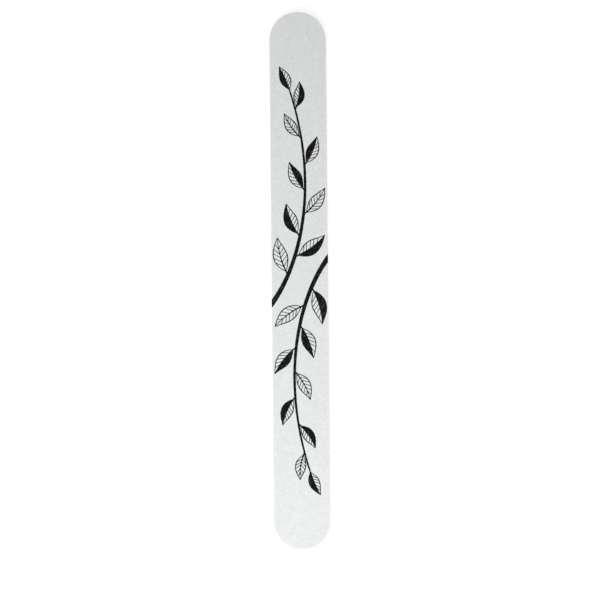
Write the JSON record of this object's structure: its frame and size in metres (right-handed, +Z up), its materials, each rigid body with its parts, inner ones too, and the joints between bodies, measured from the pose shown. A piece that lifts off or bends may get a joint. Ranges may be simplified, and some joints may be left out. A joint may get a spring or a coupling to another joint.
{
  "type": "nail buffer",
  "caption": "Straight nail buffer board with round ends: a plastic splint cushioned with foam and faced on both sides with fine abrasive paper, for smoothing and buffing nails by hand.",
  "frame": {"origin": "on the surface that the board lies on, under the middle of its back face", "axes": "+Z up, out of the printed front face; +Y along the board towards the end that is at the top of the picture; +X across the board"},
  "size_m": [0.019, 0.18, 0.004],
  "materials": {
    "abrasive_coat": "matt pale grey abrasive grain in resin under a white stearate load, with a black print on the front",
    "backing_paper": "uncoated white latex paper, die cut",
    "adhesive_film": "clear acrylic transfer adhesive, slightly yellow at the cut edge",
    "foam": "white fine-celled closed-cell foam, die cut",
    "splint_plastic": "natural white high-impact polystyrene sheet, die cut"
  },
  "bodies": {
    "root": {"back_abrasive_coat": "abrasive_coat", "back_backing_paper": "backing_paper", "back_sheet_film": "adhesive_film", "back_foam_pad": "foam", "back_splint_film": "adhesive_film", "centre_splint": "splint_plastic", "front_splint_film": "adhesive_film", "front_foam_pad": "foam", "front_sheet_film": "adhesive_film", "front_backing_paper": "backing_paper", "front_abrasive_coat": "abrasive_coat"}
  },
  "joints": []
}
